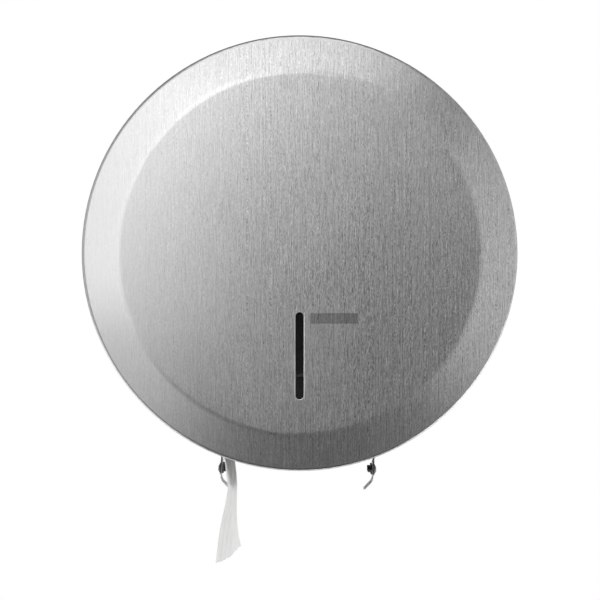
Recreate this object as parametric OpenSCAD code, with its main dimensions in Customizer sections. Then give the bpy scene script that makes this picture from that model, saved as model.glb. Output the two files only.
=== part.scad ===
// Jumbo toilet roll dispenser: a drum of stainless sheet on the wall, with a hinged round lid
// Lengths are in millimetres. The wall is the plane y = 0, the lid faces -Y and Z is up.
// The origin is the centre of the back, where the drum stands against the wall.

/* [Drum and lid] */
// Outside diameter of the lid
lid_d = 310; // [296:1:330]
// Depth of the drum, from the wall to the shoulder that the lid meets
drum_depth = 105; // [102:0.5:112]
// Depth of the lid, from its rear edge to its flat face
lid_depth = 22.6; // [20:0.2:26]
// Diameter of the lid's flat face
face_d = 259; // [248:1:264]
// How far the sloping band round the face has fallen back at the side
bevel_depth = 7; // [5:0.5:8]
// Outer radius of the soft bend between the face and the sloping band
face_bend_r = 20; // [5:1:30]
// Outer radius of the bend between the sloping band and the side
bend_r = 3; // [2:0.5:4]
// Thickness of the sheet of the drum and the lid
sheet_t = 0.8; // [0.7:0.05:1]
// Spacing of the four wall screws, across and up
wall_hole_pitch = 140; // [110:1:150]
// Diameter of the wall screw holes
wall_hole_d = 6.5; // [5:0.1:8]

/* [Level slot] */
// Width of the slot in the face
slot_w = 6; // [4:0.5:8]
// Length of the slot
slot_len = 62; // [50:1:68]
// Distance of the slot's lower end above the lid's lower edge
slot_rise = 51; // [45:1:57]

/* [Paper outlet] */
// Distance of the right leg from the middle
right_leg_x = 53; // [48:0.5:57]
// Distance of the left leg from the middle
left_leg_x = 55.5; // [50:0.5:58]
// Angle that the left leg is splayed outwards by
left_splay = 5.5; // [0:0.5:7]
// Length of the bent down legs
leg_drop = 13; // [12:0.5:16]
// Width of the legs, from the back to the front
leg_w = 86; // [78:1:88]
// Length of the blades from their bend to the tips of their teeth
blade_len = 9.6; // [8:0.2:11]
// Angle between the blades and a plumb line
blade_angle = 43.5; // [38:0.5:50]
// Pitch of the blades' teeth
tooth_pitch = 3; // [2.5:0.25:5]

/* [Roll and hub] */
// Outside diameter of the part used roll
roll_d = 176; // [120:1:240]
// Width of the paper
roll_w = 95; // [88:0.5:95]
// Inside diameter of the cardboard core
core_d = 60; // [56:1:64]
// Diameter of the steel axle
axle_d = 10; // [8:0.5:12]
// Length of paper that hangs below the left blade
tail_hang = 52.3; // [30:0.1:90]

/* [Hinge and lock] */
// Diameter of the hinge pin
hinge_pin_d = 2.4; // [2:0.1:2.6]
// Length of the hinge
hinge_len = 30; // [24:1:36]
// Diameter of the lock's body
lock_d = 16; // [14:0.5:17]
// Distance of the lock's axis behind the drum's shoulder
lock_setback = 15; // [15:0.5:20]
// Reach of the lock's cam from its axis
cam_reach = 22; // [20:0.5:23]

/* [Hidden] */
$fn = 64;

// How far cuts run past what they cut
past = 1;
// Radial play of what turns on a shaft or in a bore
running_play = 0.05;

// The lid and the drum, as radii and as distances from the wall
lid_r = lid_d / 2;
lid_in = lid_r - sheet_t;
face_r = face_d / 2;
drum_r = lid_r - 0.4;
drum_in = drum_r - sheet_t;
drum_mid = drum_r - sheet_t / 2;
step_r = lid_in - 0.8;
step_in = step_r - sheet_t;
step_len = 8;
rim_depth = drum_depth + 0.4;
front = rim_depth + lid_depth;
bevel_angle = atan(bevel_depth / (lid_r - face_r));
slot_top = lid_r - slot_rise - slot_len;

// The back plate: its middle and a ring round it are pressed off the wall
plate_t = 1.2;
pad_lift = 1.5;
pad_r = 60;
pad_foot_r = 64;
bead_r = 118;
bead_half = 4;
plate_rim_h = 9;
rim_gap_half = 60;

// The outlet in the drum's underside and its legs
outlet_back = 5;
outlet_front = drum_depth - sheet_t;
leg_back = 12;
leg_front = leg_back + leg_w;
leg_top_r = lid_r + 0.2;
leg_corner_r = 3;
leg_bend_r = 1;
flare_run = 9;
screw_drop = 8.5;
screw_inset = 13;
screw_depths = [leg_back + screw_inset, leg_front - screw_inset];
screw_d = 4;
screw_hole_d = 4.3;
screw_head_d = 7;
screw_head_h = 1.5;
nut_af = 7;
nut_t = 1.4;
screw_end = 4.4;
blade_t = 0.5;
blade_bend_r = 6;
blade_bend_drop = 3.4;
blade_back = leg_back + 1;
blade_front = leg_front - 1.5;
blade_flange_h = 13.4;
tooth_h = 1.4;

// The roll, its core and its hub, from the wall outwards
roll_r = roll_d / 2;
core_r = core_d / 2;
core_t = 2;
flange_r = 25;
flange_t = 2;
flange_front = pad_lift + plate_t + flange_t;
boss_r = 9;
boss_front = flange_front + 1.4;
hub_back = boss_front + 0.4;
hub_flange_r = 36;
hub_flange_t = 2;
roll_back = hub_back + hub_flange_t;
roll_front = roll_back + roll_w;
hub_front = roll_front - 3.4;
sleeve_r = axle_d / 2 + 3;
fin_count = 6;
fin_t = 2.2;
hub_r = core_r - 0.2;
axle_end = roll_front + 1.6;
washer_back = hub_front + 0.4;
washer_t = 1.2;
clip_back = washer_back + washer_t + 0.2;
clip_t = 1;
groove_r = axle_d / 2 - 0.9;
rivet_count = 3;
rivet_circle_r = 17;
rivet_r = 1.6;
rivet_head_r = 3.2;
rivet_head_h = 1;

// The hinge at the left: an upright pin just inside the lid's rim
hinge_x = -(lid_r - 3.2);
hinge_depth = drum_depth - 2.4;
pin_r = hinge_pin_d / 2;
knuckle_r = 2.5;
leaf_t = 1;
drum_leaf_w = 23;
lid_leaf_w = 12.4;
leaf_edge = 1;
lid_knuckle_half = 0.16 * hinge_len;
knuckle_gap = 0.3;
hinge_notch_half = hinge_len / 2 + 1;
hinge_notch_back = hinge_depth - 3.5;

// The lock at the right: a cam lock in a recess that is pressed into the drum
lock_depth = drum_depth - lock_setback;
lock_seat_x = drum_r - 2.2;
lock_flange_r = lock_d / 2 + 1.5;
lock_flange_t = 1.2;
recess_r = lock_flange_r + 1.5;
lock_end_x = lock_seat_x - 10.4;
plug_r = lock_d / 2 - 2.5;
lock_nut_t = 3;
lock_nut_af = lock_d + 3;
cam_t = 2;
cam_half = 5;
cam_x = lock_end_x - 0.4;
cam_screw_r = 2;
cam_screw_head_r = 3.8;
cam_screw_head_h = 2.2;

// The keeper on the lid hooks behind the cam when the cam is turned up
keeper_t = 1.5;
keeper_h = lock_nut_af / 2 / cos(30) + 3;
keeper_bar = 4;
keeper_slack = 1.5;
keeper_reach = 5;
keeper_side_gap = 2;
keeper_stem = 4.4;
keeper_foot_w = 16;
keeper_foot_len = 15;
keeper_foot_inset = 4;
keeper_web = 7;
keeper_slope_in = 15;
keeper_slope_out = 11;

// The window behind the slot
window_t = 1.5;
window_edge = 6;
holder_wall = 0.8;
holder_edge = 5;

// A point of a blade or leg, from the leg's own axes: x outwards and y up from the top of the leg
function leg_x(side) = side > 0 ? right_leg_x : left_leg_x;
function splay(side) = side > 0 ? 0 : left_splay;
function leg_h(side) = -sqrt(leg_top_r^2 - leg_x(side)^2);
function leg_place(side, p) = [
    side * (leg_x(side) + p.x * cos(splay(side)) - p.y * sin(splay(side))),
    leg_h(side) + p.x * sin(splay(side)) + p.y * cos(splay(side))
];
blade_bend = [-sheet_t / 2 - blade_t / 2, -leg_drop - blade_bend_drop];
function blade_turn(side) = blade_angle + splay(side);
function blade_tip(side) =
    leg_place(side, blade_bend - blade_len * [sin(blade_turn(side)), cos(blade_turn(side))]);

// Points on an arc, for profiles
function arc(centre, r, from, to, steps = 8) =
    [for (i = [0:steps]) let (a = from + (to - from) * i / steps) centre + r * [cos(a), sin(a)]];

// Radius of the ball that a domed head of radius r and height h is cut from
function dome_radius(r, h) = (h^2 + r^2) / (2 * h);

// Outline of a strip of thickness t that is bent once, at b between a and c, on a mean radius r
function bent_strip(a, b, c, t, r, steps = 4) = let (
    u = (b - a) / norm(b - a),
    v = (c - b) / norm(c - b),
    turn = asin(u.x * v.y - u.y * v.x),
    side = sign(turn),
    centre = b - u * r * tan(abs(turn) / 2) + side * r * [-u.y, u.x],
    normals = [for (k = [0:steps]) let (w = turn * k / steps)
        [-u.y * cos(w) - u.x * sin(w), u.x * cos(w) - u.y * sin(w)]]
) concat(
    [a + normals[0] * t / 2],
    [for (n = normals) centre - (side * r - t / 2) * n],
    [c + normals[steps] * t / 2, c - normals[steps] * t / 2],
    [for (k = [steps:-1:0]) centre - (side * r + t / 2) * normals[k]],
    [a - normals[0] * t / 2]
);

// Shapes are drawn as seen from the front: x right, y up and z the distance from the wall
module facing() {
    rotate([90, 0, 0]) children();
}

// Places what is drawn on the axes of a leg: x outwards, y up from its top, z from the wall
module on_leg(side) {
    translate([side * leg_x(side), leg_h(side), 0])
        mirror([side < 0 ? 1 : 0, 0, 0]) rotate([0, 0, splay(side)]) children();
}

module at_leg(side) {
    facing() on_leg(side) children();
}

// A round bar along x, from x0 to x1
module bar_x(r, x0, x1) {
    translate([x0, 0, 0]) rotate([0, 90, 0]) cylinder(r = r, h = x1 - x0);
}

// A ring round the z axis
module ring(r0, r1, z0, z1) {
    translate([0, 0, z0]) difference() {
        cylinder(r = r1, h = z1 - z0);
        translate([0, 0, -past]) cylinder(r = r0, h = z1 - z0 + 2 * past);
    }
}

// A slot with round ends, upright and centred, along z
module round_slot(w, len, h) {
    straight = len - w;
    translate([-w / 2, -straight / 2, 0]) cube([w, straight, h]);
    for (end = [-1, 1]) translate([0, end * straight / 2, 0]) cylinder(d = w, h = h);
}

// The back plate

module back_plate() {
    color("silver") facing() difference() {
        rotate_extrude() polygon(plate_profile());
        for (x = [-1, 1], y = [-1, 1])
            translate([x * wall_hole_pitch / 2, y * wall_hole_pitch / 2, -past])
                cylinder(d = wall_hole_d, h = plate_t + 2 * past);
        translate([0, 0, -past]) cylinder(d = axle_d, h = pad_lift + plate_t + 2 * past);
        at_rivets() translate([0, 0, -past]) cylinder(r = rivet_r, h = pad_lift + plate_t + 2 * past);
        // The rim is open above the paper outlet
        translate([-rim_gap_half, -lid_r, plate_t])
            cube([2 * rim_gap_half, lid_r - drum_in + 20, plate_rim_h]);
    }
}

// Half of the plate's section: a flat pad in the middle, a bead and a rim turned to the front
function plate_profile() = let (
    inner = [
        [0, pad_lift], [pad_r, pad_lift], [pad_foot_r, 0],
        [bead_r - bead_half, 0], [bead_r - 2, pad_lift], [bead_r + 2, pad_lift],
        [bead_r + bead_half, 0], [drum_in, 0], [drum_in, plate_rim_h]
    ],
    outer = [
        [drum_in - plate_t, plate_rim_h], [drum_in - plate_t, plate_t],
        [bead_r + bead_half, plate_t], [bead_r + 2, pad_lift + plate_t],
        [bead_r - 2, pad_lift + plate_t], [bead_r - bead_half, plate_t],
        [pad_foot_r, plate_t], [pad_r, pad_lift + plate_t], [0, pad_lift + plate_t]
    ]
) concat(inner, outer);

// The drum's wall

module drum_wall() {
    color("silver") facing() difference() {
        union() {
            rotate_extrude() polygon(wall_profile());
            lock_recess();
        }
        outlet_cut();
        hinge_notch();
        translate([0, 0, lock_depth]) bar_x(recess_r, lock_seat_x, lid_r + past);
        translate([0, 0, lock_depth])
            bar_x(lock_d / 2 + running_play, lock_seat_x - past - sheet_t, lock_seat_x + past);
    }
    for (side = [-1, 1]) color("silver") outlet_leg(side);
}

// Half of the wall's section, with the step that the lid slips over
function wall_profile() = [
    [drum_in, 0], [drum_r, 0], [drum_r, drum_depth], [step_r, drum_depth],
    [step_r, drum_depth + step_len], [step_in, drum_depth + step_len],
    [step_in, drum_depth - sheet_t], [drum_in, drum_depth - sheet_t]
];

// The pan that the lock sits in, before it is hollowed
module lock_recess() {
    intersection() {
        cylinder(r = drum_mid, h = drum_depth);
        translate([0, 0, lock_depth]) bar_x(recess_r + sheet_t, lock_seat_x - sheet_t, lid_r);
    }
}

// The slot in the drum's underside that the paper hangs through, wider where the legs are bent down
module outlet_cut() {
    translate([-left_leg_x, -lid_r - past, outlet_back])
        cube([left_leg_x + right_leg_x, lid_r / 2, outlet_front - outlet_back]);
    translate([-left_leg_x - flare_run, -lid_r - past, leg_back])
        cube([left_leg_x + right_leg_x + 2 * flare_run, lid_r / 2, leg_w]);
}

// The gap that the hinge's barrel stands in
module hinge_notch() {
    translate([-lid_r, -hinge_notch_half, hinge_notch_back])
        cube([lid_r / 8, 2 * hinge_notch_half, step_len + drum_depth]);
}

// The wall runs out straight from the round, then turns down into the leg
module outlet_leg(side) {
    start_x = leg_x(side) + flare_run;
    from = [side * start_x, -sqrt(drum_mid^2 - start_x^2)];
    top = [side * leg_x(side), leg_h(side)];
    // The strip starts a little inside the round, so that the two are one sheet
    start = from + (from - top) / norm(from - top) * sheet_t;
    facing() difference() {
        translate([0, 0, leg_back]) linear_extrude(leg_w)
            polygon(bent_strip(start, top, leg_place(side, [0, -leg_drop]), sheet_t, leg_bend_r));
        on_leg(side) {
            at_screws() bar_x(screw_hole_d / 2, -past, past);
            leg_corners();
        }
    }
}

// What is cut off the leg's lower corners to round them
module leg_corners() {
    for (end = [0, 1]) translate([0, -leg_drop, leg_back + end * leg_w]) mirror([0, 0, end])
        difference() {
            translate([-past, -past, -past]) cube([2 * past, leg_corner_r + past, leg_corner_r + past]);
            translate([0, leg_corner_r, leg_corner_r]) bar_x(leg_corner_r, -2 * past, 2 * past);
        }
}

// Repeats what is drawn at each blade screw of a leg
module at_screws() {
    for (z = screw_depths) translate([0, -screw_drop, z]) children();
}

// The tear blades, their screws and nuts

// A strip bent inwards along its length, with saw teeth along its free edge
module tear_blade(side) {
    width = blade_front - blade_back;
    free = blade_bend - blade_len * [sin(blade_turn(side)), cos(blade_turn(side))];
    color("gainsboro") at_leg(side) difference() {
        translate([0, 0, blade_back]) linear_extrude(width) polygon(
            bent_strip(blade_bend + [0, blade_flange_h], blade_bend, free, blade_t, blade_bend_r, 8));
        at_screws() bar_x(screw_hole_d / 2, -2 * past, past);
        translate([blade_bend.x, blade_bend.y, 0]) rotate([0, 0, -blade_turn(side)])
            translate([-past, 0, 0]) rotate([0, 90, 0]) linear_extrude(2 * past) polygon(tooth_gaps());
    }
}

// What is cut from the free edge between the teeth: x is minus the distance from the wall, y up
function tooth_gaps() = let (
    width = blade_front - blade_back,
    teeth = floor(width / tooth_pitch),
    margin = (width - teeth * tooth_pitch) / 2,
    root = -(blade_len - tooth_h)
) concat(
    [[-blade_back + past, -blade_len - past], [-blade_back + past, root], [-blade_back - margin, root]],
    [for (i = [0:teeth - 1], k = [0.5, 1])
        [-blade_back - margin - (i + k) * tooth_pitch, k == 0.5 ? -blade_len + 0.1 : root]],
    [[-blade_front - past, root], [-blade_front - past, -blade_len - past]]
);

// Domed screws with a cross recess, their heads on the outside of the leg
module blade_screws(side) {
    head_x = sheet_t / 2;
    dome_r = dome_radius(screw_head_d / 2, screw_head_h);
    color("silver") at_leg(side) at_screws() difference() {
        rotate([0, 90, 0]) rotate_extrude() polygon(concat(
            [[0, -screw_end], [screw_d / 2, -screw_end], [screw_d / 2, head_x]],
            arc([0, head_x + screw_head_h - dome_r], dome_r, 90 - asin(screw_head_d / 2 / dome_r), 90)
        ));
        for (turn = [0, 90]) translate([head_x + 0.7, 0, 0]) rotate([turn, 0, 0])
            translate([0, -0.4, -1.8]) cube([2, 0.8, 3.6]);
    }
}

module blade_nuts(side) {
    back_x = blade_bend.x - blade_t / 2;
    color("silver") at_leg(side) at_screws() difference() {
        translate([back_x - nut_t, 0, 0]) rotate([0, 90, 0]) hex(nut_af, nut_t);
        bar_x(screw_d / 2 + running_play, back_x - nut_t - past, back_x + past);
    }
}

// A hexagon's prism from its size across the flats
module hex(across, h) {
    cylinder(d = across / cos(30), h = h, $fn = 6);
}

// The axle and what holds it

module axle_flange() {
    color("darkgray") facing() difference() {
        rotate_extrude() polygon([
            [0, pad_lift + plate_t], [flange_r, pad_lift + plate_t], [flange_r, flange_front - 0.6],
            [flange_r - 0.6, flange_front], [boss_r + 1, flange_front], [boss_r, boss_front], [0, boss_front]
        ]);
        cylinder(d = axle_d, h = boss_front + past);
        at_rivets() cylinder(r = rivet_r, h = boss_front);
    }
}

module at_rivets() {
    for (i = [0:rivet_count - 1]) rotate([0, 0, 90 + i * 360 / rivet_count])
        translate([rivet_circle_r, 0, 0]) children();
}

// Each rivet has a flat head in the hollow behind the pad and a domed head on the flange
module flange_rivets() {
    dome_r = dome_radius(rivet_head_r, rivet_head_h);
    color("lightgray") facing() at_rivets() rotate_extrude() polygon(concat(
        [[0, pad_lift - rivet_head_h], [rivet_head_r, pad_lift - rivet_head_h], [rivet_head_r, pad_lift],
            [rivet_r, pad_lift], [rivet_r, flange_front]],
        arc([0, flange_front + rivet_head_h - dome_r], dome_r, 90 - asin(rivet_head_r / dome_r), 80, 4),
        [[0, flange_front + rivet_head_h - dome_r * (1 - sin(80))]]
    ));
}

// The axle has a head in the hollow behind the pad and a groove for its clip
module axle_rod() {
    r = axle_d / 2;
    color("lightgray") facing() rotate_extrude() polygon([
        [0, 0.2], [r + 3, 0.2], [r + 3, pad_lift], [r, pad_lift], [r, clip_back],
        [groove_r, clip_back], [groove_r, clip_back + clip_t], [r, clip_back + clip_t],
        [r, axle_end - 0.8], [r - 0.8, axle_end], [0, axle_end]
    ]);
}

module axle_washer() {
    color("lightgray") facing() ring(axle_d / 2 + running_play, axle_d / 2 + 4, washer_back,
        washer_back + washer_t);
}

// An open clip, pushed on from the side
module axle_clip() {
    color("dimgray") facing() difference() {
        ring(groove_r, axle_d / 2 + 2.2, clip_back, clip_back + clip_t);
        translate([-groove_r * 0.8, -axle_d, clip_back - past])
            cube([groove_r * 1.6, axle_d, clip_t + 2 * past]);
    }
}

// The roll

module roll_hub() {
    color("gainsboro") facing() difference() {
        union() {
            ring(0, sleeve_r, hub_back, hub_front);
            ring(0, hub_flange_r, hub_back, roll_back);
            ring(hub_r - 3, hub_r - 0.6, roll_back - 0.5, roll_back + 8);
            ring(hub_r - 8.4, hub_r - 6, hub_front - 8, hub_front - 0.5);
            hub_fins();
        }
        translate([0, 0, hub_back - past])
            cylinder(r = axle_d / 2 + running_play, h = hub_front - hub_back + 2 * past);
        // Six windows lighten the flange between the fins
        for (i = [0:fin_count - 1]) rotate([0, 0, (i + 0.5) * 360 / fin_count])
            translate([(sleeve_r + hub_r) / 2, 0, hub_back - past])
                cylinder(r = 5, h = hub_flange_t + 2 * past);
    }
}

// The fins narrow towards the front so that a roll goes on easily
module hub_fins() {
    intersection() {
        rotate_extrude() polygon([
            [0, hub_back + 0.5], [hub_r, hub_back + 0.5], [hub_r, hub_front - 14],
            [hub_r - 4, hub_front], [0, hub_front]
        ]);
        for (i = [0:fin_count - 1]) rotate([0, 0, i * 360 / fin_count])
            translate([sleeve_r - 0.5, -fin_t / 2, 0]) cube([hub_r, fin_t, hub_front]);
    }
}

module core_tube() {
    color("tan") facing() ring(core_r, core_r + core_t, roll_back, roll_front - 0.4);
}

// The wound paper, with soft edges and ends that are a little uneven
module paper_roll() {
    inner = core_r + core_t;
    soft = 1.2;
    third = (roll_r - inner) / 3;
    color("white") facing() rotate_extrude() polygon(concat(
        [[inner, roll_back], [roll_r - soft, roll_back]],
        arc([roll_r - soft, roll_back + soft], soft, -90, 0, 4),
        arc([roll_r - soft, roll_front - 0.5 - soft], soft, 0, 90, 4),
        [
            [inner + 2 * third + 0.3, roll_front - 0.5], [inner + 2 * third, roll_front],
            [inner + third, roll_front], [inner + third - 0.3, roll_front - 0.4],
            [inner, roll_front - 0.4]
        ]
    ));
}

// The tail of paper, from the roll's left side past the left blade to its torn end

tail_t = 0.6;
tail_r = roll_r + 0.4 + tail_t / 2;
tail_wrap = 14;
tail_turn = [blade_tip(-1).x + 1.4, blade_tip(-1).y];
tail_leave = let (a = atan2(tail_turn.y, tail_turn.x) - acos(tail_r / norm(tail_turn)))
    [tail_r * cos(a), tail_r * sin(a)];
tail_leave_angle = atan2(tail_leave.y, tail_leave.x);
tear_rise = 12.7;
fold_pitch = 34;
wrap_rows = 3;
slant_rows = 8;
hang_rows = 10;
tail_rows = wrap_rows + slant_rows + hang_rows;
tail_columns = 25;

// The stage q runs from -1 to 0 over the roll, to 1 at the blade's tip and to 2 at the torn end
function stage(row) =
    row < wrap_rows ? row / wrap_rows - 1
    : row < wrap_rows + slant_rows ? (row - wrap_rows) / slant_rows
    : 1 + (row - wrap_rows - slant_rows) / hang_rows;
// How deep the upright folds are, and how far and how widely the front edge curls to the left
function fold_depth(q) =
    lookup(q, [[0, 0], [0.875, 7.5], [0.94, 5.8], [1, 3.7], [1.43, 3.5], [1.9, 7], [2, 7.4]]);
function curl_depth(q) = lookup(q, [[0, 0], [0.88, 0], [1, 2.9], [1.36, 6.9], [2, 10.9]]);
function curl_width(q) = lookup(q, [[0.8, 8], [1, 8], [2, 24]]);
// The folds near the front are shallower than those behind them
function fold_share(q, s) = let (first = lookup(q, [[0.88, 0.6], [1, 0.12], [2, 0.1]]))
    lookup(s, [[fold_pitch / 2, first], [5 * fold_pitch / 2, 1]]);
// How much shorter the torn end is at s
function torn(s) = tear_rise * lookup(s, [[0, 0], [0.25 * roll_w, 0.66], [0.7 * roll_w, 1]]);

// Sideways place of the sheet at stage q, s along its width from the front edge
function sheet_x(q, s) =
    fold_depth(q) * fold_share(q, s) * (0.5 - 0.5 * cos(360 * s / fold_pitch))
    - curl_depth(q) * (1 - min(1, s / curl_width(q)))^1.15;
function sheet_slope(q, s) =
    (sheet_x(q, s + 0.2) - sheet_x(q, max(0, s - 0.2))) / (s < 0.2 ? 0.2 + s : 0.4);
function sheet_run(q, s) = sqrt(max(0.05, 1 - sheet_slope(q, s)^2));
// Distance from the front edge that the folded sheet takes up at each column
function sheet_depths(q, ds, column = 0, sum = 0) = column >= tail_columns ? [sum]
    : concat([sum], sheet_depths(q, ds, column + 1, sum + ds * sheet_run(q, (column + 0.5) * ds)));
// The line that the sheet follows, in x and height
function sheet_path(q, s) =
    q < 0 ? let (a = tail_leave_angle + q * tail_wrap) tail_r * [cos(a), sin(a)]
    : q < 1 ? tail_leave + q * (tail_turn - tail_leave)
    : [tail_turn.x, tail_turn.y - (q - 1) * (tail_hang - torn(s))];

function tail_skin(side) = let (ds = roll_w / tail_columns) [
    for (row = [0:tail_rows]) let (
        q = stage(row),
        depths = sheet_depths(q, ds)
    ) for (column = [0:tail_columns]) let (
        s = column * ds,
        path = sheet_path(q, s),
        offset = side * tail_t / 2
    ) [
        path.x + sheet_x(q, s) + offset * sheet_run(q, s),
        path.y,
        roll_front - 3 * max(0, q - 1) - depths[column] + offset * sheet_slope(q, s)
    ]
];

module paper_tail() {
    n = tail_columns + 1;
    count = n * (tail_rows + 1);
    last = tail_rows * n;
    quads = concat(
        [for (r = [0:tail_rows - 1], c = [0:tail_columns - 1])
            [r * n + c, r * n + c + 1, (r + 1) * n + c + 1, (r + 1) * n + c]],
        [for (r = [0:tail_rows - 1], c = [0:tail_columns - 1])
            [count + r * n + c, count + (r + 1) * n + c,
                count + (r + 1) * n + c + 1, count + r * n + c + 1]],
        [for (c = [0:tail_columns - 1]) [c, count + c, count + c + 1, c + 1]],
        [for (c = [0:tail_columns - 1]) [last + c, last + c + 1, count + last + c + 1, count + last + c]],
        [for (r = [0:tail_rows - 1]) [r * n, (r + 1) * n, count + (r + 1) * n, count + r * n]],
        [for (r = [0:tail_rows - 1]) let (c = r * n + tail_columns) [c, count + c, count + c + n, c + n]]
    );
    faces = [for (f = quads) each [[f[0], f[1], f[2]], [f[0], f[2], f[3]]]];
    color("white") facing() polyhedron(concat(tail_skin(-1), tail_skin(1)), faces);
}

// The lid

module lid_shell() {
    color("gainsboro") facing() difference() {
        rotate_extrude() polygon(lid_profile());
        translate([0, -slot_top - slot_len / 2, front - sheet_t - past])
            round_slot(slot_w, slot_len, sheet_t + 2 * past);
    }
}

// Half of the lid's section: flat face, sloping band and straight side, with bends between them
function lid_profile() = let (
    corner = front - bevel_depth,
    centre = [lid_r - bend_r, corner - bend_r * tan((90 - bevel_angle) / 2)],
    face_centre = [face_r - face_bend_r * tan(bevel_angle / 2), front - face_bend_r]
) concat(
    [[0, front - sheet_t]],
    arc(face_centre, face_bend_r - sheet_t, 90, 90 - bevel_angle),
    arc(centre, bend_r - sheet_t, 90 - bevel_angle, 0),
    [[lid_in, rim_depth], [lid_r, rim_depth]],
    arc(centre, bend_r, 0, 90 - bevel_angle),
    arc(face_centre, face_bend_r, 90 - bevel_angle, 90),
    [[0, front]]
);

// A dark strip that lies behind the slot
module level_window() {
    color([0.1, 0.1, 0.11]) facing() translate([0, -slot_top - slot_len / 2, front - sheet_t - window_t])
        round_slot(slot_w + 2 * window_edge, slot_len + 2 * window_edge, window_t);
}

// A shallow tray, welded by its edge behind the face, that holds the window
module window_holder() {
    w = slot_w + 2 * window_edge + 0.4;
    len = slot_len + 2 * window_edge + 0.4;
    back = front - sheet_t - window_t - holder_wall;
    color("silver") facing() translate([0, -slot_top - slot_len / 2, back]) difference() {
        union() {
            round_slot(w + 2 * holder_wall, len + 2 * holder_wall, window_t + holder_wall);
            translate([0, 0, window_t])
                round_slot(w + 2 * holder_edge, len + 2 * holder_edge, holder_wall);
        }
        translate([0, 0, holder_wall]) round_slot(w, len, window_t + past);
        translate([0, 0, -past]) round_slot(slot_w + 4, slot_len + 4, window_t + 2 * past);
    }
}

// The hinge

module hinge_leaf_drum() {
    color("darkgray") facing() difference() {
        union() {
            leaf(drum_in - leaf_t, drum_in, hinge_len / 2,
                hinge_depth - leaf_edge - drum_leaf_w, hinge_depth - leaf_edge);
            hinge_barrel(knuckle_r, -hinge_len / 2, -lid_knuckle_half - knuckle_gap);
            hinge_barrel(knuckle_r, lid_knuckle_half + knuckle_gap, hinge_len / 2);
        }
        hinge_barrel(pin_r, -hinge_len, hinge_len);
        translate([-lid_r, -lid_knuckle_half - knuckle_gap, hinge_depth - knuckle_r - 0.4])
            cube([lid_r / 8, 2 * (lid_knuckle_half + knuckle_gap), 2 * knuckle_r]);
    }
}

module hinge_leaf_lid() {
    color("darkgray") facing() difference() {
        union() {
            leaf(lid_in - leaf_t, lid_in, hinge_len / 2 - 0.5,
                rim_depth + 0.6, rim_depth + 0.6 + lid_leaf_w);
            leaf(lid_in - leaf_t, lid_in, lid_knuckle_half, hinge_depth + leaf_edge, rim_depth + leaf_edge);
            hinge_barrel(knuckle_r, -lid_knuckle_half, lid_knuckle_half);
        }
        hinge_barrel(pin_r + running_play, -hinge_len, hinge_len);
        translate([-lid_r - past, -hinge_len, -past]) cube([past, 2 * hinge_len, front]);
    }
}

// A curved leaf against the inside of the drum or lid, at the left
module leaf(r0, r1, half, z0, z1) {
    intersection() {
        ring(r0, r1, z0, z1);
        translate([-lid_r, -half, z0]) cube([lid_r / 2, 2 * half, z1 - z0]);
    }
}

// A round bar on the hinge's upright axis, between two heights
module hinge_barrel(r, h0, h1) {
    translate([hinge_x, h0, hinge_depth]) rotate([-90, 0, 0]) cylinder(r = r, h = h1 - h0);
}

module hinge_pin() {
    color("lightgray") facing() hinge_barrel(pin_r, -hinge_len / 2 - 0.5, hinge_len / 2 + 0.5);
}

// The lock

// Places what is drawn on the lock's axis, which lies along x
module at_lock() {
    facing() translate([0, 0, lock_depth]) children();
}

module lock_barrel() {
    color("silver") at_lock() difference() {
        union() {
            bar_x(lock_flange_r, lock_seat_x, lock_seat_x + lock_flange_t);
            bar_x(lock_d / 2, lock_end_x, lock_seat_x + lock_flange_t);
        }
        bar_x(plug_r + running_play, lock_end_x - past, lid_r);
    }
}

module lock_nut() {
    nut_x = lock_seat_x - sheet_t - lock_nut_t;
    color("darkgray") at_lock() difference() {
        translate([nut_x, 0, 0]) rotate([0, 90, 0]) hex(lock_nut_af, lock_nut_t);
        bar_x(lock_d / 2 + running_play, nut_x - past, lock_seat_x);
    }
}

// The plug that the key turns, with its keyway
module lock_plug() {
    color("lightgray") at_lock() difference() {
        bar_x(plug_r, cam_x, lock_seat_x + lock_flange_t);
        translate([lock_seat_x + lock_flange_t - 4, -0.6, -3.2]) cube([5, 1.2, 6.4]);
        bar_x(cam_screw_r, cam_x - past, cam_x + 6);
    }
}

module lock_cam() {
    tip_r = cam_half;
    color("gray") at_lock() difference() {
        union() {
            bar_x(cam_half + 1.5, cam_x - cam_t, cam_x);
            bar_cam(cam_reach - tip_r);
            translate([0, 0, cam_reach - tip_r]) bar_x(tip_r, cam_x - cam_t, cam_x);
        }
        bar_x(cam_screw_r, cam_x - cam_t - past, cam_x + past);
    }
}

// The straight of the cam, from its axis towards the lid
module bar_cam(reach) {
    translate([cam_x - cam_t, -cam_half, 0]) cube([cam_t, 2 * cam_half, reach]);
}

module cam_screw() {
    back_x = cam_x - cam_t;
    color("lightgray") at_lock() difference() {
        union() {
            bar_x(cam_screw_r, back_x - 0.1, cam_x + 5);
            bar_x(cam_screw_head_r, back_x - cam_screw_head_h, back_x);
        }
        translate([back_x - cam_screw_head_h - past, -0.5, -cam_screw_head_r - past])
            cube([past + 1, 1, 2 * (cam_screw_head_r + past)]);
    }
}

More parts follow.
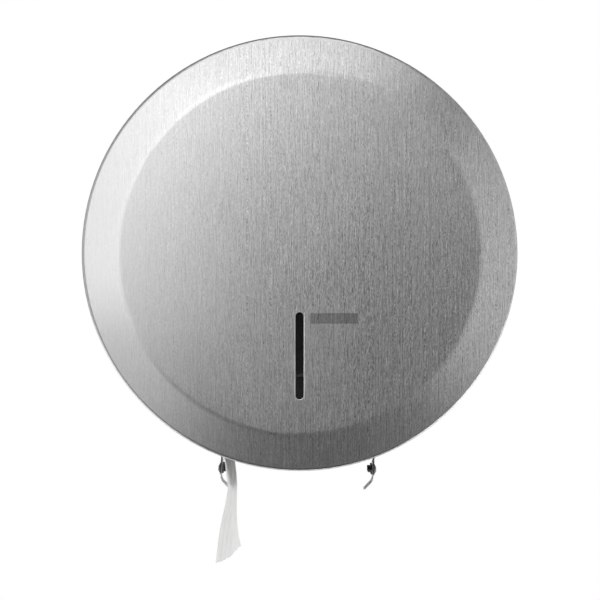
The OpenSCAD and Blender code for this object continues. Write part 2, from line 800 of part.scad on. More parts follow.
// A hook on the lid: its foot lies on the face, its bar is behind the turned up cam
module lock_keeper() {
    bar_front = lock_depth - cam_half - keeper_slack;
    bar_back = bar_front - keeper_bar;
    bar_in = cam_x - cam_t - keeper_reach;
    stem_in = cam_x + keeper_side_gap;
    stem_out = stem_in + keeper_stem;
    inside = front - sheet_t;
    foot_out = face_r - keeper_foot_inset;
    foot_in = foot_out - keeper_foot_w;
    color("silver") facing() {
        translate([0, keeper_h, 0]) rotate([90, 0, 0]) mirror([0, 0, 1]) linear_extrude(keeper_t) polygon([
            [bar_in, bar_back], [stem_out, bar_back], [stem_out, inside - keeper_slope_out],
            [foot_out, inside], [foot_in, inside], [foot_in, inside - keeper_web],
            [stem_in, inside - keeper_slope_in],
            [stem_in, bar_front], [bar_in, bar_front]
        ]);
        translate([foot_in, keeper_h, inside - keeper_t]) cube([keeper_foot_w, keeper_foot_len, keeper_t]);
    }
}

back_plate();
drum_wall();
axle_flange();
flange_rivets();
axle_rod();
axle_washer();
axle_clip();
tear_blade(-1);  // tear_blade_left
tear_blade(1);  // tear_blade_right
blade_screws(-1);  // blade_screws_left
blade_screws(1);  // blade_screws_right
blade_nuts(-1);  // blade_nuts_left
blade_nuts(1);  // blade_nuts_right
hinge_leaf_drum();
hinge_pin();
lock_barrel();
lock_nut();
paper_tail();
lid_shell();
hinge_leaf_lid();
level_window();
window_holder();
lock_keeper();
lock_plug();
lock_cam();
cam_screw();
paper_roll();
core_tube();
roll_hub();
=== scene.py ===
"""Looks of the jumbo roll dispenser: finishes, wound roll, hanging tissue, threads, light and camera."""
import math

import bpy
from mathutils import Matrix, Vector, noise


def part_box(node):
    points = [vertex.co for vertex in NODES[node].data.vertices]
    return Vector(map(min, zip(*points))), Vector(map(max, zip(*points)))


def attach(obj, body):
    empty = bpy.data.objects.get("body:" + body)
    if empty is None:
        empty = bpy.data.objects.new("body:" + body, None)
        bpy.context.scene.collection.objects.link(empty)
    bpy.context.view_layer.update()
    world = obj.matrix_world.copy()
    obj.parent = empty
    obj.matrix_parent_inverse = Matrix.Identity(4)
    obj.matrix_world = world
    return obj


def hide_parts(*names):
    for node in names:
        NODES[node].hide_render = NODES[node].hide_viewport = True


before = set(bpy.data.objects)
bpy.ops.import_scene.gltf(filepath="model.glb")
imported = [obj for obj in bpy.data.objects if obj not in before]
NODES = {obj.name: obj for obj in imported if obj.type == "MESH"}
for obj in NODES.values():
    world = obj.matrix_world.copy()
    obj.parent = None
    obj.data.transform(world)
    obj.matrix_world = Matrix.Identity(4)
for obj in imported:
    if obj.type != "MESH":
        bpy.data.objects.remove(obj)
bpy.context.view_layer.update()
MM = 0.001

# Sizes that the frame gives, in metres

lid_low, lid_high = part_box("lid_shell")
LID_R = (lid_high.x - lid_low.x) / 2
FRONT_Y = lid_low.y
roll_low, roll_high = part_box("paper_roll")
ROLL_R = (roll_high.x - roll_low.x) / 2
ROLL_FRONT, ROLL_BACK = roll_low.y, roll_high.y
core_low, core_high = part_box("core_tube")
CORE_R = (core_high.x - core_low.x) / 2
leaf_low, leaf_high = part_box("hinge_leaf_drum")
PLUG_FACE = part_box("lock_plug")[1].x

# Sizes of small features, as the source has them

SLOT_MIDDLE = -73.0 * MM
SLOT_HALF = 31.0 * MM
SLOT_R = 3.0 * MM
PANEL_X, PANEL_Z = 24.5 * MM, -46.4 * MM
PANEL_HALF_W, PANEL_HALF_H = 16.9 * MM, 3.75 * MM
LID_BEND = 2.2 * MM
LEG_FRONT = 98.0 * MM
LEG_RISE = 15.0 * MM
WELD_R = 1.5 * MM
LOCK_DEPTH = 90.0 * MM
PLUG_R = 5.5 * MM
KEYWAY_HALF_W, KEYWAY_HALF_H = 3.3 * MM, 0.7 * MM

# How bright the brushed sheet is

STEEL = 0.47


# Shader maths written as Python expressions

class Value:
    """An output socket that takes part in sums. Each operator adds one Math node."""

    def __init__(self, recipe, socket):
        self.recipe = recipe
        self.socket = socket

    def math(self, operation, *others, clamp=False):
        return self.recipe.node("ShaderNodeMath", {"operation": operation, "use_clamp": clamp},
                                dict(enumerate((self, *others))))

    def __add__(self, other):
        return self.math("ADD", other)

    __radd__ = __add__

    def __sub__(self, other):
        return self.math("SUBTRACT", other)

    def __rsub__(self, other):
        return self.math("MULTIPLY_ADD", -1.0, other)

    def __mul__(self, other):
        return self.math("MULTIPLY", other)

    __rmul__ = __mul__

    def __truediv__(self, other):
        return self.math("DIVIDE", other)

    def __pow__(self, other):
        return self.math("POWER", other)

    def __neg__(self):
        return self * -1.0

    def __abs__(self):
        return self.math("ABSOLUTE")

    def held(self):
        """Held between 0 and 1."""
        return self.math("ADD", 0.0, clamp=True)

    def above(self, edge, soft):
        """0 below the edge and 1 above it, with a soft step."""
        return ((self - (edge - soft)) / (2 * soft)).held()

    def below(self, edge, soft):
        return 1.0 - self.above(edge, soft)

    def most(self, other):
        """The larger of the two."""
        return self.math("MAXIMUM", other)


class Nodes:
    """The nodes of one material or of the studio's surroundings."""

    def __init__(self, tree):
        self.tree = tree

    def node(self, kind, settings=None, inputs=None, output=0):
        """Adds a node: its settings first, then the values or links of its sockets."""
        made = self.tree.nodes.new(kind)
        for key, value in (settings or {}).items():
            setattr(made, key, value)
        for key, value in (inputs or {}).items():
            if isinstance(value, Value):
                self.tree.links.new(value.socket, made.inputs[key])
            else:
                made.inputs[key].default_value = value
        return None if output is None else Value(self, made.outputs[output])

    def spot(self, x, y, z):
        """A point for a texture, from three values."""
        return self.node("ShaderNodeCombineXYZ", {}, {0: x, 1: y, 2: z})

    def cloud(self, at, scale, detail=2.0, roughness=0.5):
        """Soft noise from 0 to 1."""
        return self.node("ShaderNodeTexNoise", {}, {"Vector": at, "Scale": scale, "Detail": detail,
                                                    "Roughness": roughness})

    def mix(self, factor, a, b):
        """A colour between a and b."""
        a = a if isinstance(a, Value) else (*a, 1.0)
        b = b if isinstance(b, Value) else (*b, 1.0)
        return self.node("ShaderNodeMix", {"data_type": "RGBA"}, {0: factor, 6: a, 7: b}, 2)

    def tint(self, tone, red=1.0, green=1.0, blue=1.0):
        """A near neutral colour of the given brightness."""
        return self.node("ShaderNodeCombineColor", {}, {0: tone * red, 1: tone * green, 2: tone * blue})

    def bump(self, height, distance, strength=1.0):
        return self.node("ShaderNodeBump", {}, {"Height": height, "Distance": distance,
                                                "Strength": strength})


class Finish(Nodes):
    """One finish: a material and its shader."""

    def __init__(self, name):
        self.material = bpy.data.materials.new(name)
        self.material.use_nodes = True
        super().__init__(self.material.node_tree)
        self.shader = self.tree.nodes["Principled BSDF"]
        self.place = self.node("ShaderNodeTexCoord", output="Object")
        self.x, self.y, self.z = (self.node("ShaderNodeSeparateXYZ", {}, {0: self.place}, axis)
                                  for axis in range(3))

    def set(self, **sockets):
        """Sets or links sockets of the shader; underscores stand for spaces. Gives the material."""
        for key, value in sockets.items():
            socket = self.shader.inputs[key.replace("_", " ")]
            if isinstance(value, Value):
                self.tree.links.new(value.socket, socket)
            else:
                socket.default_value = value
        return self.material

    def let_through(self, share, colour):
        """That share of the light comes through from behind. Gives the material."""
        through = self.node("ShaderNodeBsdfTranslucent", {}, {"Color": colour})
        front = Value(self, self.shader.outputs[0])
        both = self.node("ShaderNodeMixShader", {}, {0: share, 1: front, 2: through})
        self.tree.links.new(both.socket, self.tree.nodes["Material Output"].inputs[0])
        return self.material


# Finishes

def streaks(r, across, along):
    """Grain of a brushed sheet along the brush: scratches, clumps of them, broad soft bands and
    hair lines that only a close look shows."""
    stagger = r.cloud(r.spot(across * 900.0, 0.0, 9.0), 1.0, 1.0, 0.5) * 24.0
    hair = r.cloud(r.spot(across * 1300.0, along * 660.0 + stagger, 0.0), 1.0, 1.0, 0.5)
    clump = r.cloud(r.spot(across * 1100.0, along * 120.0 + stagger, 3.0), 1.0, 2.0, 0.5)
    band = r.cloud(r.spot(across * 600.0, along * 18.0 + stagger, 6.0), 1.0, 2.0, 0.5)
    fine = r.cloud(r.spot(across * 4300.0, along * 60.0 + stagger * 0.3, 12.0), 1.0, 1.0, 0.5)
    return hair, clump, band, fine


def brushed_lid():
    """The lid is brushed upright and round its side. Its grain is painted fainter towards the hinge, as a
    painted highlight washing it out there.
    The slot's edges are dressed, and a blank panel beside it is dull."""
    r = Finish("brushed_lid")
    side = ((r.x * r.x + r.z * r.z) ** 0.5).above(LID_R - LID_BEND, 0.5 * MM)
    face = 1.0 - side
    angle = r.x.math("ARCTAN2", r.z)
    hair, clump, band, fine = streaks(r, r.x * face + r.y * side, r.z * face + angle * (side * 0.15))
    smudge = r.cloud(r.place, 12.0, 3.0, 0.55)
    panel = (abs(r.x - PANEL_X).below(PANEL_HALF_W, 0.3 * MM)
             * abs(r.z - PANEL_Z).below(PANEL_HALF_H, 0.3 * MM)
             * r.y.below(FRONT_Y + 0.4 * MM, 0.05 * MM))
    past_end = (abs(r.z - SLOT_MIDDLE) - (SLOT_HALF - SLOT_R)).most(0.0)
    from_slot = (r.x * r.x + past_end * past_end) ** 0.5 - SLOT_R
    dressed = from_slot.below(0.55 * MM, 0.1 * MM) * r.y.below(FRONT_Y + 0.9 * MM, 0.05 * MM)
    # Painted highlight: the grain is made fainter towards the hinge, standing for the glare that washes it
    # out there.
    highlight_fade = 0.2 + 0.85 * ((r.x + 140 * MM) / (130 * MM)).held()
    grain = highlight_fade * ((hair - 0.5) * 0.85 + (clump - 0.5) * 0.5 + (band - 0.5) * 0.3
                       + (fine - 0.5) * 0.35)
    tone = (STEEL + grain + (smudge - 0.5) * 0.03) * (1.0 - panel * 0.38)
    rough = 0.35 + grain * 0.22 + (smudge - 0.5) * 0.05
    height = grain * (0.02 * MM) - panel * (0.02 * MM) + dressed * (from_slot * 0.3)
    return r.set(Base_Color=r.tint(tone), Roughness=rough, Metallic=1.0, Normal=r.bump(height, 1.0))


def brushed_drum():
    """The drum is brushed round its side. The front edges of its legs are rougher and painted dark, as
    painted shade on the legs, and the welds that hold the hinge leaf show as two shallow dimples."""
    r = Finish("brushed_drum")
    angle = r.x.math("ARCTAN2", r.z)
    hair, clump, band, fine = streaks(r, r.y, angle * 0.15)
    smudge = r.cloud(r.place, 11.0, 3.0, 0.55)
    grain = (hair - 0.5) * 0.5 + (clump - 0.5) * 0.45 + (band - 0.5) * 0.2 + (fine - 0.5) * 0.35
    # The legs' front edges: rougher, and painted dark as painted shade.
    dull_shaded_edge = r.z.below(LEG_RISE - LID_R, 0.8 * MM) * abs(r.y + LEG_FRONT).below(0.3 * MM, 0.1 * MM)
    weld_y, weld_z = (leaf_low.y + leaf_high.y) / 2, leaf_high.z * 0.55
    from_weld = ((r.y - weld_y) ** 2.0 + (abs(r.z) - weld_z) ** 2.0) ** 0.5
    weld = from_weld.below(WELD_R, 0.6 * MM) * r.x.below(0.0, 1.0 * MM)
    tone = (STEEL + grain + (smudge - 0.5) * 0.04) * (1.0 - dull_shaded_edge * 0.8) - weld * 0.06
    rough = 0.38 + grain * 0.15 + (smudge - 0.5) * 0.08 + dull_shaded_edge * 0.15
    height = grain * (0.015 * MM) - weld * (0.12 * MM)
    return r.set(Base_Color=r.tint(tone), Roughness=rough, Metallic=1.0, Normal=r.bump(height, 1.0))


def mill_sheet(name, tone_at, rough_at):
    """Dull cold rolled sheet, a little cloudy, with fine scratches both ways."""
    r = Finish(name)
    cloudy = r.cloud(r.place, 45.0, 4.0, 0.6)
    scratch_up = r.cloud(r.spot(r.x * 900.0, r.y * 60.0, r.z * 60.0), 1.0, 2.0).above(0.66, 0.05)
    scratch_over = r.cloud(r.spot(r.x * 50.0, r.y * 60.0, r.z * 1100.0), 1.0, 2.0).above(0.68, 0.05)
    marks = scratch_up + scratch_over
    tone = tone_at + (cloudy - 0.5) * 0.12 + marks * 0.05
    rough = rough_at + (cloudy - 0.5) * 0.2 - marks * 0.06
    return r.set(Base_Color=r.tint(tone), Roughness=rough, Metallic=1.0,
                 Normal=r.bump(cloudy - marks * 0.3, 0.03 * MM, 0.4))


def turned(r, tone_at, rough_at, shade=1.0, dulled=0.0):
    """Steel off a lathe or a heading die: fine even grain and dull patches."""
    fine = r.cloud(r.place, 2600.0)
    dull = r.cloud(r.place, 260.0, 3.0, 0.6)
    tone = (tone_at + (fine - 0.5) * 0.1 + (dull - 0.5) * 0.18) * shade
    rough = rough_at + (fine - 0.5) * 0.12 + (dull - 0.5) * 0.2 + dulled
    return r.set(Base_Color=r.tint(tone), Roughness=rough, Metallic=1.0,
                 Normal=r.bump(fine, 0.01 * MM, 0.4))


def turned_steel(name, tone_at, rough_at):
    return turned(Finish(name), tone_at, rough_at)


def plated_lock():
    """Bright plate, with painted shade in the key slot, and a dark line where the plug meets its body that is
    painted shade of the gap with dust in it.
    """
    r = Finish("plated_lock")
    across = r.y + LOCK_DEPTH
    from_axis = (across * across + r.z * r.z) ** 0.5
    # Painted shade of the gap where the plug meets its body, with dust in it.
    seam = 1.0 - abs(from_axis - PLUG_R).above(0.16 * MM, 0.06 * MM)
    # Painted shade down inside the key slot.
    keyway_shade = (abs(r.z).below(KEYWAY_HALF_H, 0.05 * MM) * abs(across).below(KEYWAY_HALF_W, 0.05 * MM)
              * r.x.below(PLUG_FACE - 0.15 * MM, 0.1 * MM))
    return turned(r, 0.5, 0.16, (1.0 - keyway_shade * 0.95) * (1.0 - seam * 0.7), keyway_shade * 0.4)


def smoked_window():
    """Dark clear acrylic with a haze of paper dust."""
    r = Finish("smoked_window")
    dust = r.cloud(r.place, 1400.0).above(0.62, 0.08)
    haze = r.cloud(r.place, 60.0, 3.0)
    tone = 0.004 + dust * 0.01 + haze * 0.004
    return r.set(Base_Color=r.tint(tone), Roughness=0.07 + dust * 0.25 + haze * 0.06,
                 Specular_IOR_Level=0.2, Alpha=0.52 + dust * 0.2 + haze * 0.1,
                 Normal=r.bump(haze, 0.02 * MM, 0.2))


def hanging_tissue():
    """Soft two ply tissue: fibres and faint creping across the sheet. Light comes through it."""
    r = Finish("hanging_tissue")
    fibre = r.cloud(r.place, 1500.0, 4.0, 0.7)
    crepe = r.cloud(r.spot(r.x * 260.0, r.y * 180.0, r.z * 1700.0), 1.0)
    cloudy = r.cloud(r.place, 120.0)
    colour = r.tint(0.92 + (fibre - 0.5) * 0.07 + (cloudy - 0.5) * 0.05, blue=0.985)
    r.set(Base_Color=colour, Roughness=0.92 + (fibre - 0.5) * 0.1,
          Normal=r.bump(fibre * 0.5 + crepe * 0.5, 0.12 * MM, 0.6))
    return r.let_through(0.78 + (cloudy - 0.5) * 0.1, (0.92, 0.92, 0.906, 1.0))


def wound_tissue():
    """The roll shows the edges of its turns at its ends and creped paper round its outside."""
    r = Finish("wound_tissue")
    radius = (r.x * r.x + r.z * r.z) ** 0.5
    angle = r.x.math("ARCTAN2", r.z)
    middle, half = (ROLL_FRONT + ROLL_BACK) / 2, (ROLL_BACK - ROLL_FRONT) / 2
    end = abs(r.y - middle).above(half - 1.6 * MM, 0.3 * MM)
    turns = r.cloud(r.spot(radius * 3200.0, angle * 0.6, r.y * 20.0), 1.0, 3.0, 0.7)
    bands = r.cloud(r.spot(radius * 260.0, angle * 0.35, 4.0), 1.0)
    fibre = r.cloud(r.place, 1400.0, 3.0, 0.7)
    crepe = r.cloud(r.spot(angle * 160.0, r.y * 200.0, 0.0), 1.0)
    tone = 0.82 + end * ((turns - 0.5) * 0.24 + (bands - 0.5) * 0.12) + (fibre - 0.5) * 0.05
    tone = tone + (1.0 - end) * (crepe - 0.5) * 0.05
    height = end * turns * 2.0 + fibre * 0.5 + (1.0 - end) * crepe
    return r.set(Base_Color=r.tint(tone, blue=0.98), Roughness=0.93 + (fibre - 0.5) * 0.08,
                 Normal=r.bump(height, 0.15 * MM, 0.7))


def core_board():
    """Spiral wound board: a slanting seam and coarse fibres."""
    r = Finish("core_board")
    angle = r.x.math("ARCTAN2", r.z)
    fibre = r.cloud(r.place, 900.0, 4.0, 0.7)
    seam = (angle + r.y * 90.0).math("SINE").above(0.985, 0.01)
    colour = r.mix((fibre * 1.3 - 0.15).held(), (0.30, 0.21, 0.13), (0.52, 0.40, 0.27))
    colour = r.mix(seam * 0.6, colour, (0.2, 0.14, 0.09))
    return r.set(Base_Color=colour, Roughness=0.88 + (fibre - 0.5) * 0.1,
                 Normal=r.bump(fibre - seam, 0.1 * MM, 0.6))


def hub_plastic():
    """Off white moulded plastic with a fine sparked texture and scuffs along the fins."""
    r = Finish("hub_plastic")
    grain = r.cloud(r.place, 2200.0)
    scuff = r.cloud(r.spot(r.x * 700.0, r.y * 40.0, r.z * 700.0), 1.0, 3.0).above(0.64, 0.05)
    cloudy = r.cloud(r.place, 40.0)
    tone = 0.72 + (cloudy - 0.5) * 0.06 - scuff * 0.07
    return r.set(Base_Color=r.tint(tone, blue=0.96),
                 Roughness=0.48 + (grain - 0.5) * 0.16 + scuff * 0.15,
                 Normal=r.bump(grain, 0.03 * MM, 0.35))


SCREWS = turned_steel("screw_steel", 0.1, 0.4)
FINISHES = [
    (brushed_lid(), ["lid_shell"]),
    (brushed_drum(), ["drum_wall"]),
    (mill_sheet("mill_sheet", 0.52, 0.42), ["back_plate", "window_holder", "lock_keeper"]),
    (mill_sheet("blade_sheet", 0.66, 0.5), ["tear_blade_left", "tear_blade_right"]),
    (mill_sheet("hinge_sheet", 0.45, 0.4), ["hinge_leaf_drum", "hinge_leaf_lid", "axle_flange"]),
    (turned_steel("dull_nut", 0.2, 0.42), ["blade_nuts_left", "blade_nuts_right", "lock_nut"]),
    (SCREWS, ["blade_screws_left", "blade_screws_right", "cam_screw", "flange_rivets"]),
    (turned_steel("axle_steel", 0.6, 0.22), ["axle_rod", "axle_washer", "hinge_pin"]),
    (plated_lock(), ["lock_barrel", "lock_plug"]),
    (turned_steel("cam_steel", 0.5, 0.3), ["lock_cam"]),
    (turned_steel("spring_steel", 0.14, 0.34), ["axle_clip"]),
    (smoked_window(), ["level_window"]),
    (core_board(), ["core_tube"]),
    (hub_plastic(), ["roll_hub"]),
]
TISSUE = hanging_tissue()
WOUND = wound_tissue()

for material, names in FINISHES:
    for name in names:
        slots = NODES[name].data.materials
        slots.clear()
        slots.append(material)


# Meshes

def mesh_piece(name, points, faces, material, body):
    data = bpy.data.meshes.new(name)
    data.from_pydata([tuple(p) for p in points], [], faces)
    data.materials.append(material)
    data.shade_smooth()
    piece = bpy.data.objects.new(name, data)
    bpy.context.scene.collection.objects.link(piece)
    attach(piece, body)
    return piece


def between(pairs, q):
    """The value at q on straight runs through (stage, value) pairs."""
    if q <= pairs[0][0]:
        return pairs[0][1]
    for (q0, v0), (q1, v1) in zip(pairs, pairs[1:]):
        if q <= q1:
            return v0 + (v1 - v0) * ((q - q0) / (q1 - q0))
    return pairs[-1][1]


# The hanging tissue, in millimetres, on the run of the source's solid. A stage q is -1 to 0 round
# the roll, 1 at the blade and 2 at the torn end.

TAIL_LEFT_X = -48.4
BLADE_Z = -168.3
TAIL_R = ROLL_R / MM + 0.7
TAIL_HANG = 52.3
TAIL_TURN = 4.6
PAPER_W = 95.0
FOLD_PITCH = 34
FOLD_DEPTH = [(0, 0), (0.854, 6.4), (0.93, 4.8), (1, 3.0), (1.2, 3.0), (1.45, 3.0), (1.63, 3.3),
              (1.81, 4.3), (2, 6.7)]
FIRST_FOLD = [(0.88, 0.9), (1, 0.6), (1.2, 0.3), (1.5, 0.12), (2, 0.1)]
CURL_DEPTH = [(0, 0), (0.86, 0), (0.93, 1.4), (1, 3.1), (1.2, 4.8), (1.41, 7.2), (1.68, 9.6), (2, 11.6)]
CURL_WIDTH = [(0.8, 8), (1, 8), (2, 24)]
CREASES = [(2.6, 0.5), (5.2, 0.8), (8.0, 0.6), (10.2, 0.9), (14.0, 0.7), (42.5, 0.8), (45.5, 0.6),
           (48.5, 0.9), (76.5, 0.8), (79.5, 0.7), (82.5, 0.9), (88.0, 0.7)]
CREASE_W = 0.8
TOOTH_PITCH = 3.0
CREASED = [(0.3, 0), (0.8, 1), (1.5, 0.9), (2, 0.35)]
TORN = [(-11.6, -0.5), (-6.3, 1.0), (-2.7, 2.9), (0.3, 5.0), (3.8, 8.0), (7.2, 10.4)]


def fold_share(q, s):
    """The folds grow from the front of the sheet to its back."""
    return between([(FOLD_PITCH / 2, between(FIRST_FOLD, q)), (5 * FOLD_PITCH / 2, 1)], s)


def sheet_x(q, s):
    """How far the sheet swings out sideways at stage q, s along its width from the front."""
    swing = 0.5 - 0.5 * math.cos(math.tau * s / FOLD_PITCH)
    fold = between(FOLD_DEPTH, q) * fold_share(q, s) * swing
    return fold - between(CURL_DEPTH, q) * (1 - min(1, s / between(CURL_WIDTH, q))) ** 1.15


def tail_points(columns, wrap, slant, hang):
    """The sheet's rows: round the roll, down to the blade and on to the torn end."""
    reach = math.hypot(TAIL_LEFT_X, BLADE_Z)
    leave = math.atan2(BLADE_Z, TAIL_LEFT_X) - math.acos(TAIL_R / reach)
    rows = []
    for row in range(wrap + slant + hang + 1):
        if row < wrap:
            q = row / wrap - 1
        elif row < wrap + slant:
            q = (row - wrap) / slant
        else:
            q = 1 + (row - wrap - slant) / hang
        depth = -ROLL_FRONT / MM - 3 * max(0, q - 1)
        points = []
        step = PAPER_W / columns
        for column in range(columns + 1):
            s = column * step
            if q < 0:
                angle = leave + q * TAIL_TURN
                radius = TAIL_R + 0.45 * q
                x, z = radius * math.cos(angle), radius * math.sin(angle)
            elif q < 1:
                x0, z0 = TAIL_R * math.cos(leave), TAIL_R * math.sin(leave)
                x, z = x0 + q * (TAIL_LEFT_X - x0), z0 + q * (BLADE_Z - z0)
            else:
                drop = TAIL_HANG - between(TORN, sheet_x(2, s))
                x, z = TAIL_LEFT_X, BLADE_Z - (q - 1) * drop
            points.append((x + sheet_x(q, s), -depth, z))
            slope = (sheet_x(q, s + step) - sheet_x(q, s)) / step
            depth -= step * math.sqrt(max(0.05, 1 - slope * slope))
        rows.append(points)
    return rows


def crinkle(q, s, z):
    """Uneven waves of handled tissue and the fine pleats that run down it, in millimetres."""
    wave = 0.5 * noise.noise(Vector((s * 0.06, z * 0.035, 0.0)))
    pleat = 1.2 * noise.noise(Vector((s * 0.3, z * 0.01, 3.0)))
    fine = 0.14 * noise.noise(Vector((s * 0.9, z * 0.03, 6.0)))
    creases = 0.0
    for place, depth in CREASES:
        away = (s - place - 0.5 * noise.noise(Vector((place, z * 0.03, 9.0)))) / CREASE_W
        creases -= depth * math.exp(-away * away)
    return wave + pleat + fine + creases * between(CREASED, q)


def make_tail():
    """The sheet in one piece, from where it lies on the roll to its torn end."""
    columns, wrap, slant, hang = 240, 90, 70, 70
    rows = tail_points(columns, wrap, slant, hang)
    points = []
    for index, row in enumerate(rows):
        free = min(1.0, max(0.0, (index - wrap - 4) / 30))
        for column, (x, y, z) in enumerate(row):
            s = PAPER_W * column / columns
            low = index - (wrap + slant + hang - 3)
            tear = 0.0
            if low > 0:
                tear = low / 3 * (0.25 * noise.noise(Vector((s * 0.9, 7.0, 0.0)))
                                  + 0.35 * abs(((s / TOOTH_PITCH) % 1.0) - 0.5))
            q = max(0.0, (index - wrap) / slant)
            points.append(((x + free * crinkle(q, s, z)) * MM, y * MM, (z + tear) * MM))
    n = columns + 1
    faces = [(r * n + c, r * n + c + 1, (r + 1) * n + c + 1, (r + 1) * n + c)
             for r in range(len(rows) - 1) for c in range(columns)]
    tail = mesh_piece("tissue_tail", points, faces, TISSUE, "drum")
    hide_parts("paper_tail")


# How far the wound paper's rims are rounded over, front and back

RIM_FRONT = 2.8 * MM
RIM_BACK = 1.2 * MM


def make_roll():
    """Wound paper: each turn's edge stands a little in or out of its neighbours."""
    steps, around = 60, 180
    inner = CORE_R + 0.05 * MM
    points, faces = [], []

    def ragged(index, seed):
        return 0.35 * noise.noise(Vector((index * 0.45, seed, 0.0))) + 0.12 * noise.noise(
            Vector((index * 3.1, seed, 5.0)))

    profile = []
    for index in range(steps + 1):
        radius = inner + (ROLL_R - inner) * index / steps
        edge = max(0.0, (index - steps + 4) / 4)
        inset = (0.45 + (1 - edge) * ragged(index, 1.0)) * MM + RIM_FRONT * edge ** 2
        profile.append((radius, ROLL_FRONT + inset))
    flat_from = ROLL_FRONT + RIM_FRONT + 1.0 * MM
    flat = ROLL_BACK - RIM_BACK - 0.8 * MM - flat_from
    for index in range(9):
        profile.append((ROLL_R, flat_from + flat * index / 8))
    for index in range(steps, -1, -1):
        radius = inner + (ROLL_R - inner) * index / steps
        soft = RIM_BACK * max(0.0, (index - steps + 2) / 2) ** 2
        profile.append((radius, ROLL_BACK - (0.3 + abs(ragged(index, 2.0))) * MM - soft))
    for turn in range(around):
        angle = math.tau * turn / around
        for place, (radius, y) in enumerate(profile):
            wave = 0.2 * MM * noise.noise(Vector((math.cos(angle) * 2, math.sin(angle) * 2, place * 0.05)))
            swell = min(0.0, wave) if place > steps * 0.9 else 0.0
            points.append(((radius + swell) * math.cos(angle), y + wave * 0.5,
                           (radius + swell) * math.sin(angle)))
    n = len(profile)
    for turn in range(around):
        following = (turn + 1) % around
        for place in range(n):
            beside = (place + 1) % n
            faces.append((turn * n + place, following * n + place, following * n + beside, turn * n + beside))
    roll = mesh_piece("wound_roll", points, faces, WOUND, "roll")
    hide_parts("paper_roll")


# The threads on the screws' free ends, in millimetres on the axes of a leg, as the source has them

LEG_TOP_R = LID_R / MM + 0.2
SCREW_R = 2.0
SCREW_DROP = 8.5
SCREW_END = 4.4
NUT_FACE = 2.3
SCREW_DEPTHS = [25.0, 85.0]
PITCH = 0.7
RIDGE, RIDGE_HALF = 0.2, 0.28


def make_threads(name, side, leg_x, splay):
    """A fine ridge wound round each screw from its nut to its end."""
    leg_z = -math.sqrt(LEG_TOP_R ** 2 - leg_x ** 2)
    steps = 20
    root = SCREW_R - 0.03
    length = SCREW_END - NUT_FACE - 0.25
    rings = round(steps * (length - 0.3) / PITCH)
    points, faces = [], []
    for depth in SCREW_DEPTHS:
        start = len(points)
        for ring in range(rings + 1):
            angle = math.tau * ring / steps
            fade = min(1.0, ring / 6, (rings - ring) / 6)
            for along, radius in ((-RIDGE_HALF, root), (0.0, SCREW_R + RIDGE * fade), (RIDGE_HALF, root)):
                out = -NUT_FACE - RIDGE_HALF - PITCH * ring / steps - along
                up = -SCREW_DROP + radius * math.cos(angle)
                points.append((side * (leg_x + out * math.cos(splay) - up * math.sin(splay)) * MM,
                               -(depth + radius * math.sin(angle)) * MM,
                               (leg_z + out * math.sin(splay) + up * math.cos(splay)) * MM))
        for ring in range(rings):
            a = start + 3 * ring
            faces += [(a, a + 1, a + 4, a + 3), (a + 1, a + 2, a + 5, a + 4)]
    piece = mesh_piece(name, points, faces, SCREWS, "drum")
    piece.data.shade_flat()


# Light, camera and stage

def camera():
    """A long lens straight from the front. The lid's centre is above the picture's middle."""
    picture = 600.0
    lid_px_r = 218.2
    lid_px_x, lid_px_y = 299.6, 253.1
    distance = 6.6
    pixel = LID_R / lid_px_r
    data = bpy.data.cameras.new("camera")
    data.sensor_width = 36.0
    data.lens = 36.0 * distance / (picture * pixel)
    data.clip_end = 60.0
    eye = bpy.data.objects.new("camera", data)
    bpy.context.scene.collection.objects.link(eye)
    eye.location = ((picture / 2 - lid_px_x) * pixel, FRONT_Y - distance, (lid_px_y - picture / 2) * pixel)
    eye.rotation_euler = (math.radians(90), 0, 0)
    bpy.context.scene.camera = eye


def lamp(name, place, side, power):
    """A square soft box aimed at the lid's middle. It isn't seen itself."""
    data = bpy.data.lights.new(name, "AREA")
    data.shape = "SQUARE"
    data.size = side
    data.energy = power
    made = bpy.data.objects.new(name, data)
    bpy.context.scene.collection.objects.link(made)
    made.location = place
    made.rotation_euler = (Vector((0, -0.1, 0)) - Vector(place)).to_track_quat("-Z", "Y").to_euler()
    made.visible_camera = False


def lights():
    lamp("soft_box_left", (-0.26, -0.51, 0.11), 0.44, 1.13)
    lamp("soft_box_low_left", (-0.78, -1.34, -0.51), 0.7, 1.77)
    lamp("soft_box_top", (-0.05, -0.62, 0.76), 0.86, 4.07)
    lamp("soft_box_right", (0.55, -0.8, -0.01), 0.77, 1.5)
    lamp("soft_box_middle", (-0.06, -0.81, 0.25), 0.25, 0.44)
    lamp("low_side_left", (-0.75, 0.25, -0.7), 0.9, 4.0)
    lamp("low_side_right", (0.75, 0.25, -0.7), 0.9, 4.9)
    lamp("under", (0.0, 0.12, -0.7), 0.5, 0.9)


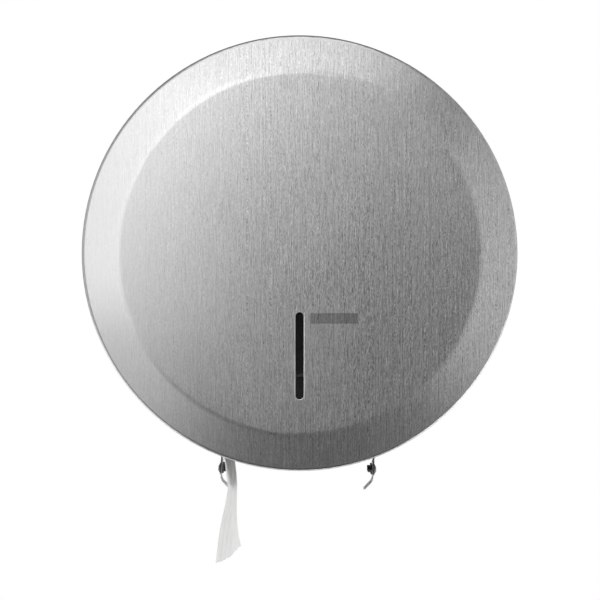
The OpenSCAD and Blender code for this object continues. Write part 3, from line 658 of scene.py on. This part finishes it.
def studio():
    """A dark room in front, pale at its sides, and a white backdrop behind the dispenser."""
    world = bpy.data.worlds.new("studio")
    world.use_nodes = True
    tree = world.node_tree
    tree.nodes.clear()
    n = Nodes(tree)
    direction = n.node("ShaderNodeTexCoord", output="Generated")
    x, y, z = (n.node("ShaderNodeSeparateXYZ", {}, {0: direction}, axis) for axis in range(3))
    from_front = (-y).math("ARCCOSINE")

    def wider_than(low, high):
        return n.node("ShaderNodeMapRange", {"interpolation_type": "SMOOTHSTEP"},
                      {0: from_front, 1: math.radians(low), 2: math.radians(high)})

    behind = y.above(0.95, 0.03)
    ray = {kind: n.node("ShaderNodeLightPath", output="Is %s Ray" % kind)
           for kind in ("Camera", "Glossy", "Transmission")}
    shown = (ray["Camera"] + (ray["Glossy"] + ray["Transmission"]) * behind).held()
    aside = x * x
    low = (-z).held()
    room = wider_than(27, 89) * (0.68 + 0.08 * x - 0.45 * abs(z) - 0.5 * low)
    room = room * (1.0 - wider_than(85, 110) * (1.0 - aside) * 0.6)
    room = room + wider_than(26, 38) * (1.0 - wider_than(46, 62)) * low * 0.52
    room = room + wider_than(50, 85) * (1.0 - wider_than(100, 130)) * aside * 0.6
    level = room + shown * (1.0 - room)
    light = n.node("ShaderNodeBackground", {}, {0: (1, 1, 1, 1), 1: level})
    n.node("ShaderNodeOutputWorld", {}, {0: light}, None)
    bpy.context.scene.world = world


def floor():
    """A pale floor that keeps the shadow and fades into the white ground towards its front. Metal
    sees only its far part as white."""
    z, front = -0.95, 0.02
    data = bpy.data.meshes.new("floor")
    data.from_pydata([(-4, front, z), (4, front, z), (4, 5, z), (-4, 5, z)], [], [(0, 1, 2, 3)])
    r = Finish("pale_floor")
    cloudy = r.cloud(r.place, 3.0)
    r.set(Base_Color=r.tint(0.88 + (cloudy - 0.5) * 0.04), Roughness=0.9)
    ray = {kind: r.node("ShaderNodeLightPath", output="Is %s Ray" % kind)
           for kind in ("Camera", "Glossy", "Transmission")}
    far = r.y.above(1.6, 0.6)
    inside = r.y.above(front + 0.25, 0.2) * r.y.below(4.2, 0.7) * abs(r.x).below(3.2, 0.7)
    seen = ray["Camera"] * (1.0 - 0.25 * inside)
    share = (seen + (ray["Glossy"] + ray["Transmission"]) * far).held()
    white = r.node("ShaderNodeEmission", {}, {"Color": (1, 1, 1, 1), "Strength": 1.0})
    shaded = Value(r, r.shader.outputs[0])
    both = r.node("ShaderNodeMixShader", {}, {0: share, 1: shaded, 2: white})
    r.tree.links.new(both.socket, r.tree.nodes["Material Output"].inputs[0])
    data.materials.append(r.material)
    made = bpy.data.objects.new("floor", data)
    bpy.context.scene.collection.objects.link(made)


camera()
lights()
studio()
floor()
make_tail()
make_roll()
make_threads("screw_threads_left", -1, 55.5, math.radians(5.5))
make_threads("screw_threads_right", 1, 53.0, 0.0)
bpy.context.scene.view_settings.view_transform = "Standard"
